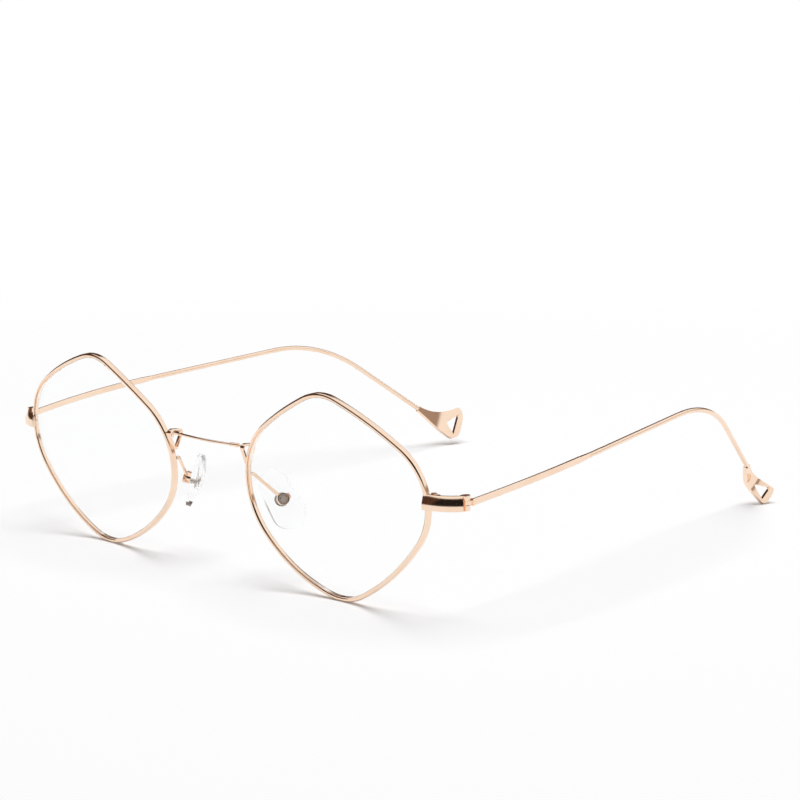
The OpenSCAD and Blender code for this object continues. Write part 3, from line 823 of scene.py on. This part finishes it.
@dataclass
class Bridge:
    """The bridge: a thin bowed wire whose ends turn down into two three-cornered strip loops on the rims.

    Lengths are in millimetres; each loop corner has its depth, its height and its radius.
    """

    front_y: float
    z: float = 29.7
    half: float = 9.9
    bar_y: float = 0.2
    bow: float = 1.0
    bend_r: float = 1.2
    wire: float = 0.58
    sleeve: float = 0.9
    sleeve_x: tuple = (7.6, 9.95)
    loop_x: float = 11.45
    strip_w: float = 1.0
    strip_t: float = 0.5
    strip_edge: float = 0.1
    corners: tuple = ((1.55, 29.25, 0.75), (3.75, 29.15, 0.6), (2.5, 26.4, 0.55))

    def bar(self) -> list[Vector]:
        """The bar's middle line from the right loop to the left one, in millimetres."""
        r = (self.half * self.half + self.bow * self.bow) / (2 * self.bow)
        most, bow_steps, bend_steps = math.asin(self.half / r), 24, 8
        turns = [most * k / bow_steps for k in range(-bow_steps, bow_steps + 1)]
        arc = [Vector((r * math.sin(a), self.bar_y + r * (1 - math.cos(a)), self.z)) for a in turns]
        way, down = Vector((math.cos(most), math.sin(most), 0)), Vector((0, 0, -1))
        end = []
        for k in range(1, bend_steps + 1):
            a = math.radians(90 * k / bend_steps)
            end.append(arc[-1] + way * self.bend_r * math.sin(a) + down * self.bend_r * (1 - math.cos(a)))
        shift = Vector((0, self.front_y, 0))
        start = [Vector((-q.x, q.y, q.z)) for q in reversed(end)]
        return [q + shift for q in start + arc + end]

    def loop(self) -> list[Vector]:
        """The left loop's closed middle line round its three corners, in millimetres."""
        made, n, steps = [], len(self.corners), 8
        for i, (y, z, r) in enumerate(self.corners):
            mid, before, after = Vector((y, z)), self.corners[i - 1], self.corners[(i + 1) % n]
            a, b = mid - Vector(before[:2]), Vector(after[:2]) - mid
            start, stop = math.atan2(a.x, -a.y), math.atan2(b.x, -b.y)
            turn = -((start - stop) % math.tau)
            for k in range(steps + 1):
                t = start + turn * k / steps
                made.append(mid + Vector((math.cos(t), math.sin(t))) * r)
        return [Vector((self.loop_x, q.x + self.front_y, q.y)) for q in made]

    def build(self, sweeps: SweepTree, finish: bpy.types.Material) -> list[bpy.types.Object]:
        """Sweeps the bar, its two sleeves and the loops.

        Args:
            sweeps: the sweeping tree.
            finish: the bridge's metal.

        Returns:
            The pieces.
        """
        def ring(thick: float, n: int = 20) -> list[tuple[float, float]]:
            """A round section of n points, in metres, for a thickness in millimetres."""
            r, turns = thick / 2 * MM, [math.tau * k / n for k in range(n)]
            return [(r * math.cos(a), r * math.sin(a)) for a in turns]

        line = self.bar()
        made = [sweeps.sweep(
            "bridge_bar", [q * MM for q in line], [Vector((0, -1, 0))] * len(line),
            ring(self.wire), finish, closed=False,
        )]
        for side in Side:
            flip = Vector((side.value, 1, 1))
            part = [q for q in line if self.sleeve_x[0] < q.x < self.sleeve_x[1]]
            made.append(sweeps.sweep(
                f"bridge_sleeve_{side.word}", [q * flip * MM for q in part], [Vector((0, -1, 0))] * len(part),
                ring(self.sleeve), finish, closed=False,
            ))
            loop = self.loop()
            w, t, e = self.strip_w / 2 * MM, self.strip_t / 2 * MM, self.strip_edge * MM
            half = [(w - e, t), (e - w, t), (-w, t - e), (-w, e - t)]
            made.append(sweeps.sweep(
                f"bridge_loop_{side.word}", [q * flip * MM for q in loop],
                [Vector((1, 0, 0))] * len(loop), half + [(-x, -y) for x, y in half], finish, closed=True,
            ))
        for piece in made:
            Bench.tidy(piece.data, smooth_under=40.0)
            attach(piece, "front")
        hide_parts("bridge")
        return made


@dataclass
class TipShape:
    """The turns, bend and outline of one temple tip, each bent a little, in degrees and millimetres.

    A corner has its half width and its place along the tip. The eye widens from its point to its base.
    """

    twist: float
    lean: float
    skew: float
    bend: float
    bend_at: float
    high: tuple
    low: tuple
    length: float
    eye: tuple
    eye_high: float
    eye_low: float
    flare: float

    def turn(self) -> Matrix:
        """The tip's turn away from the end of its wire."""
        about_z = Matrix.Rotation(math.radians(self.twist), 3, "Z")
        about_x = Matrix.Rotation(math.radians(self.lean), 3, "X")
        return about_z @ about_x @ Matrix.Rotation(math.radians(self.skew), 3, "Y")


@dataclass
class TempleTips:
    """The two temple tips: a fan beaten flat from the wire's end, with a three-cornered eye.

    Lengths are in millimetres. The wire's end has its place and its three directions. Up to the length called
    solid, the two columns that the eye cuts out keep a share of the fan's width.
    """

    front_y: float
    start: tuple = (53.0538, 128.452, 10.811)
    across: tuple = (-0.960503, -0.276831, 0.028265)
    out: tuple = (-0.136110, 0.555974, 0.819980)
    along: tuple = (-0.242710, 0.783746, -0.571694)
    bend_len: float = 6.0
    neck: float = 0.62
    low_flare: float = 1.1
    end_share: float = 0.22
    end_power: float = 2.2
    thick: tuple = (1.15, 1.3)
    thick_at: float = 9.0
    solid: float = 3.0
    solid_share: float = 0.4
    eye_start: tuple = (0.35, 0.2)
    eye_share: tuple = (0.8, 0.72)
    least_fade: float = 0.3
    eye_columns: tuple = (2, 3)
    stem_rows: int = 14
    eye_rows: int = 6
    end_rows: int = 8
    roll: float = 0.32
    near: float = 1e-6
    shapes: dict = field(default_factory=lambda: {
        Side.LEFT: TipShape(
            twist=108.6, lean=6.0, skew=-8.75, bend=50.1, bend_at=4.45, high=(2.85, 13.6), low=(2.0, 13.2),
            length=14.4, eye=(9.2, 12.9), eye_high=2.4, eye_low=1.3, flare=1.1,
        ),
        Side.RIGHT: TipShape(
            twist=104.0, lean=-4.0, skew=6.5, bend=-17.0, bend_at=5.5, high=(5.4, 12.6), low=(3.5, 12.6),
            length=15.1, eye=(10.7, 13.4), eye_high=3.7, eye_low=2.2, flare=2.2,
        ),
    })

    def bent(self, shape: TipShape, s: float, n: int = 48) -> tuple[float, float, float]:
        """Follows the tip's middle line.

        Args:
            shape: the tip.
            s: the length walked.
            n: the number of paces.

        Returns:
            Its depth, its height and its angle there.
        """
        y = z = a = 0.0
        for k in range(n):
            u = min(1.0, max(0.0, ((k + 0.5) * s / n - shape.bend_at) / self.bend_len))
            a = math.radians(shape.bend) * u * u * (3 - 2 * u)
            y += math.sin(a) * s / n
            z += math.cos(a) * s / n
        return y, z, a

    def edge(self, corner: tuple, length: float, s: float, flare: float) -> float:
        """Finds the fan's half width on one side: out to the corner, then round to the end.

        Args:
            corner: the corner's half width and its place.
            length: the tip's length.
            s: the length walked.
            flare: the power that the width grows by.

        Returns:
            The half width there.
        """
        width, at = corner
        if s < at:
            return self.neck + (width - self.neck) * (s / at) ** flare
        u = (s - at) / (length - at)
        return width * (self.end_share + (1 - self.end_share) * math.sqrt(max(0.0, 1 - u ** self.end_power)))

    def spots(self, shape: TipShape, s: float) -> list[float]:
        """Divides the fan across into its solid edge strips and the eye's two columns.

        Args:
            shape: the tip.
            s: the length walked.

        Returns:
            The seven places of its points, from the low edge to the high one.
        """
        top, low = shape.eye
        high = self.edge(shape.high, shape.length, s, shape.flare)
        under = self.edge(shape.low, shape.length, s, self.low_flare)
        u = min(1.0, max(0.0, (s - top) / (low - top)))
        fade = 1.0
        if s > low:
            fade = max(self.least_fade, min(1.0, (high + under) / (shape.high[0] + shape.low[0])))
        eye_high, eye_low = high * self.solid_share, under * self.solid_share
        if s > self.solid:
            eye_high = (self.eye_start[0] + (shape.eye_high - self.eye_start[0]) * u) * fade
            eye_low = (self.eye_start[1] + (shape.eye_low - self.eye_start[1]) * u) * fade
        eye_high, eye_low = min(eye_high, high * self.eye_share[0]), min(eye_low, under * self.eye_share[1])
        middle = (eye_high - eye_low) / 2
        return [-under, -(under + eye_low) / 2, -eye_low, middle, eye_high, (high + eye_high) / 2, high]

    def grid(self, work: bmesh.types.BMesh, side: Side, shape: TipShape) -> list[tuple[float, list]]:
        """Places the points of both faces, row by row along the tip.

        Args:
            work: the mesh to add them to.
            side: the tip's side.
            shape: the tip.

        Returns:
            Each row's length with its inner and outer line of points.
        """
        top, low = shape.eye
        stem, eye, end = self.stem_rows, self.eye_rows, self.end_rows
        rows = [k * top / stem for k in range(stem + 1)]
        rows += [top + (low - top) * k / eye for k in range(1, eye + 1)]
        rows += [low + (shape.length - low) * math.sin(math.pi / 2 * k / end) for k in range(1, end + 1)]
        from_wire, turn = Matrix((self.across, self.out, self.along)).transposed(), shape.turn()
        made = []
        for s in rows:
            y, z, a = self.bent(shape, s)
            half = (self.thick[0] + (self.thick[1] - self.thick[0]) * min(1.0, s / self.thick_at)) / 2
            row = []
            for face in (-1, 1):
                out = Vector((0, y + math.cos(a) * half * face, z - math.sin(a) * half * face))
                line = []
                for w in self.spots(shape, s):
                    at = Vector(self.start) + from_wire @ (turn @ (out + Vector((w, 0, 0))))
                    at.y += self.front_y
                    at.x *= side.value
                    line.append(work.verts.new(at * MM))
                row.append(line)
            made.append((s, row))
        return made

    def skin(self, work: bmesh.types.BMesh, grid: list[tuple[float, list]], shape: TipShape) -> None:
        """Lays both faces, the outer edges, the eye's walls and the two ends over the points.

        Args:
            work: the mesh to add them to.
            grid: what grid() made.
            shape: the tip.
        """
        top, low = shape.eye
        last = len(grid[0][1][0]) - 1

        def close(row: list, columns: tuple | range) -> None:
            """Joins the two faces across some columns of a row."""
            for i in columns:
                work.faces.new((row[0][i], row[0][i + 1], row[1][i + 1], row[1][i]))

        for (s0, a), (s1, b) in zip(grid, grid[1:]):
            eye = s0 >= top - self.near and s1 <= low + self.near
            for i in range(last):
                if eye and i in self.eye_columns:
                    continue
                work.faces.new((a[0][i], a[0][i + 1], b[0][i + 1], b[0][i]))
                work.faces.new((a[1][i], b[1][i], b[1][i + 1], a[1][i + 1]))
            for i in (0, last) + ((self.eye_columns[0], self.eye_columns[-1] + 1) if eye else ()):
                work.faces.new((a[0][i], b[0][i], b[1][i], a[1][i]))
            if eye and abs(s0 - top) < self.near:
                close(a, self.eye_columns)
            if eye and abs(s1 - low) < self.near:
                close(b, self.eye_columns)
        close(grid[0][1], range(last))
        close(grid[-1][1], range(last))

    def build(self, finish: bpy.types.Material) -> list[bpy.types.Object]:
        """Models both tips.

        Args:
            finish: their metal.

        Returns:
            The two pieces.
        """
        made = []
        for side, shape in self.shapes.items():
            work = bmesh.new()
            self.skin(work, self.grid(work, side, shape), shape)
            mesh = bpy.data.meshes.new(f"temple_tip_{side.word}_beaten")
            work.to_mesh(mesh)
            work.free()
            Bench.tidy(mesh, smooth_under=38.0)
            piece = Bench.stand(mesh.name, mesh, [finish])
            Bench.bevel(piece, "rolled_edges", self.roll, segments=4, over=50.0)
            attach(piece, f"temple_arm_{side.word}")
            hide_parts(f"temple_tip_{side.word}")
            made.append(piece)
        return made


@dataclass
class Studio:
    """The white studio: floor, lamp, surroundings and camera.

    The photograph's figures are in millimetres, degrees and pixels, the studio's own in metres and watts. The
    belt's edges are heights of a direction's unit vector.
    """

    front_y: float
    azimuth: float = 42.21
    elevation: float = 10.87
    camera_at: tuple = (343.06, -315.49, 127.17)
    focal_px: float = 2225.97
    picture_px: float = 800.0
    middle_row: float = 401.19
    belt_low: float = 0.02
    belt_top: float = 0.14
    belt_soft: tuple = (0.04, 0.08)
    front_rise: float = 0.48
    back: tuple = (0.36, 0.27, 0.21)
    room: tuple = (0.075, 0.036, 0.02)
    door: tuple = (0.01, 0.008, 0.007)
    white: tuple = (1.0, 1.0, 1.0)
    door_way: tuple = (0.64, -0.77, 0.0)
    door_edge: tuple = (0.68, 0.8)
    back_way: tuple = (0.68, 0.73, 0.0)
    back_edge: tuple = (0.35, 0.8)
    fill: float = 0.22
    floor_half: float = 4.0
    box_size: float = 1.5
    box_at: tuple = (0.0, 0.1, 1.9)
    box_power: float = 32.5

    def floor(self) -> None:
        """Lays the paper that the spectacles stand on."""
        work = bmesh.new()
        bmesh.ops.create_grid(work, x_segments=12, y_segments=12, size=self.floor_half)
        mesh = bpy.data.meshes.new("paper_floor")
        work.to_mesh(mesh)
        work.free()
        floor = Bench.stand("paper_floor", mesh, [PaperFloor("studio_paper").material()])

    def surroundings(self) -> None:
        """Makes the world white, with a dark belt of the room round the horizon in reflections alone."""
        world = bpy.data.worlds.new("white_studio")
        bpy.context.scene.world = world
        world.use_nodes = True
        shop = Workshop(world.node_tree)
        way = shop.node("ShaderNodeTexCoord", out="Generated")
        up = shop.node("ShaderNodeSeparateXYZ", None, {0: way}, "Z")

        def facing(direction: tuple) -> Term:
            """How far the ray looks in a direction, 1 at most."""
            dot = {"operation": "DOT_PRODUCT"}
            return shop.node("ShaderNodeVectorMath", dot, {0: way, 1: direction}, "Value")

        door, ahead = facing(self.door_way), 1.0 - facing(self.back_way).step(*self.back_edge)
        top = self.belt_top + self.front_rise * ahead
        low_soft, top_soft = self.belt_soft
        belt = up.step(self.belt_low, self.belt_low + low_soft) * (1.0 - (up - top).step(0.0, top_soft))
        room = shop.colour(door.step(*self.door_edge), shop.colour(ahead, self.back, self.room), self.door)
        dark = shop.colour(belt * shop.rays("Glossy"), self.white, room)
        strength = 1.0 - (1.0 - self.fill) * shop.rays("Diffuse")
        ground = shop.node("ShaderNodeBackground", None, {"Color": dark, "Strength": strength}, "Background")
        shop.node("ShaderNodeOutputWorld", None, {"Surface": ground})

    def lamp(self) -> None:
        """Hangs one very large soft box overhead, whose light the floor shows as soft shadows."""
        light = bpy.data.lights.new("overhead_softbox", "AREA")
        light.shape = "SQUARE"
        light.size = self.box_size
        light.energy = self.box_power
        lamp = bpy.data.objects.new("overhead_softbox", light)
        lamp.location = self.box_at
        lamp.visible_glossy = False
        lamp.visible_transmission = False
        bpy.context.scene.collection.objects.link(lamp)

    def camera(self) -> None:
        """Stands the camera at the photograph's place."""
        lens = bpy.data.cameras.new("photo_camera")
        lens.sensor_width = 36.0
        lens.lens = self.focal_px * lens.sensor_width / self.picture_px
        lens.shift_y = (self.middle_row - self.picture_px / 2) / self.picture_px
        lens.clip_start = 0.01
        lens.clip_end = 50.0
        camera = bpy.data.objects.new("photo_camera", lens)
        x, y, z = self.camera_at
        camera.location = Vector((x, y + self.front_y, z)) * MM
        camera.rotation_euler = (math.radians(90 - self.elevation), 0.0, math.radians(self.azimuth))
        bpy.context.scene.collection.objects.link(camera)
        bpy.context.scene.camera = camera

    def build(self) -> None:
        """Sets up the whole studio."""
        bpy.context.scene.view_settings.view_transform = "Standard"
        self.camera()
        self.floor()
        self.surroundings()
        self.lamp()


def front_plane() -> float:
    """Finds the front plane's y in millimetres from the rims' own box, which the outline gives too."""
    low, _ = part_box("rim_left")
    plane = LensPlane()
    place = plane.matrix()
    outer = [p + o * plane.rim for p, o in plane.outline.run(step=0.2)]
    return low.y / MM - min((place @ Vector((q.x, plane.bowl(q.length), q.y))).y for q in outer)


def main() -> None:
    """Builds and dresses every piece in order."""
    logging.basicConfig(level=logging.INFO, format="%(name)s: %(message)s")
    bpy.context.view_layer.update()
    front_y = front_plane()
    LOG.info("front plane at %.3f mm", front_y)
    Studio(front_y).build()
    gold = Polished("rose_gold").material()
    # The screws' darker copper colour is painted shade: the screws are rose gold like the frame, and the
    # darker tone shades the hinge knuckles and pad screws.
    painted_shade_screws = Polished("copper_screws", (0.80, 0.50, 0.36), worn=(0.70, 0.42, 0.30), roughness=0.2).material()
    steel = Polished("insert_steel", (0.74, 0.68, 0.61), worn=(0.6, 0.54, 0.47), roughness=0.45).material()
    glass = ClearLens("clear_lens").material()
    silicone = ClearSilicone("clear_silicone").material()
    sweeps = SweepTree()
    # Seven nodes get a finer form of their own. The others keep their solid's and are dressed by kind.
    pieces = Rims(LensPlane(front_y=front_y)).build(sweeps, gold)
    pieces += EndPieces(front_y).build(sweeps, gold) + Bridge(front_y).build(sweeps, gold)
    pieces += TempleTips(front_y).build(gold)
    # The finish, the slot and the width of the broken edges in millimetres, for each kind of node.
    dress = {
        "lens": (glass, "clear_lens", 0.0),
        "nose_pad": (silicone, "clear_pad", 0.0),
        "lock_screw": (gold, "screw_metal", 0.03),
        # The pad and hinge screws take the darker metal, whose colour is painted shade.
        "pad_screw": (painted_shade_screws, "screw_metal", 0.03),
        "hinge_screw": (painted_shade_screws, "screw_metal", 0.03),
        "pad_core": (steel, "pad_insert", 0.03),
    }
    rest = (gold, "frame_metal", 0.06)
    body_of = {n: b for b, ns in frame["record"]["behaviour"]["bodies"].items() for n in ns}
    for node, body in body_of.items():
        kind = node.rsplit("_", 1)[0]
        if kind in ("rim", "end_piece", "bridge", "temple_tip"):
            continue
        finish, slot, bevel = dress.get(kind, rest)
        piece = Bench.from_node(node, body, finish, slot, bevel)
        piece.visible_shadow = piece.visible_diffuse = slot not in ("clear_lens", "clear_pad")
        pieces.append(piece)
    for piece in pieces:
        LOG.info("%s: %d faces", piece.name, len(piece.data.polygons))


if __name__ == "__main__":
    main()
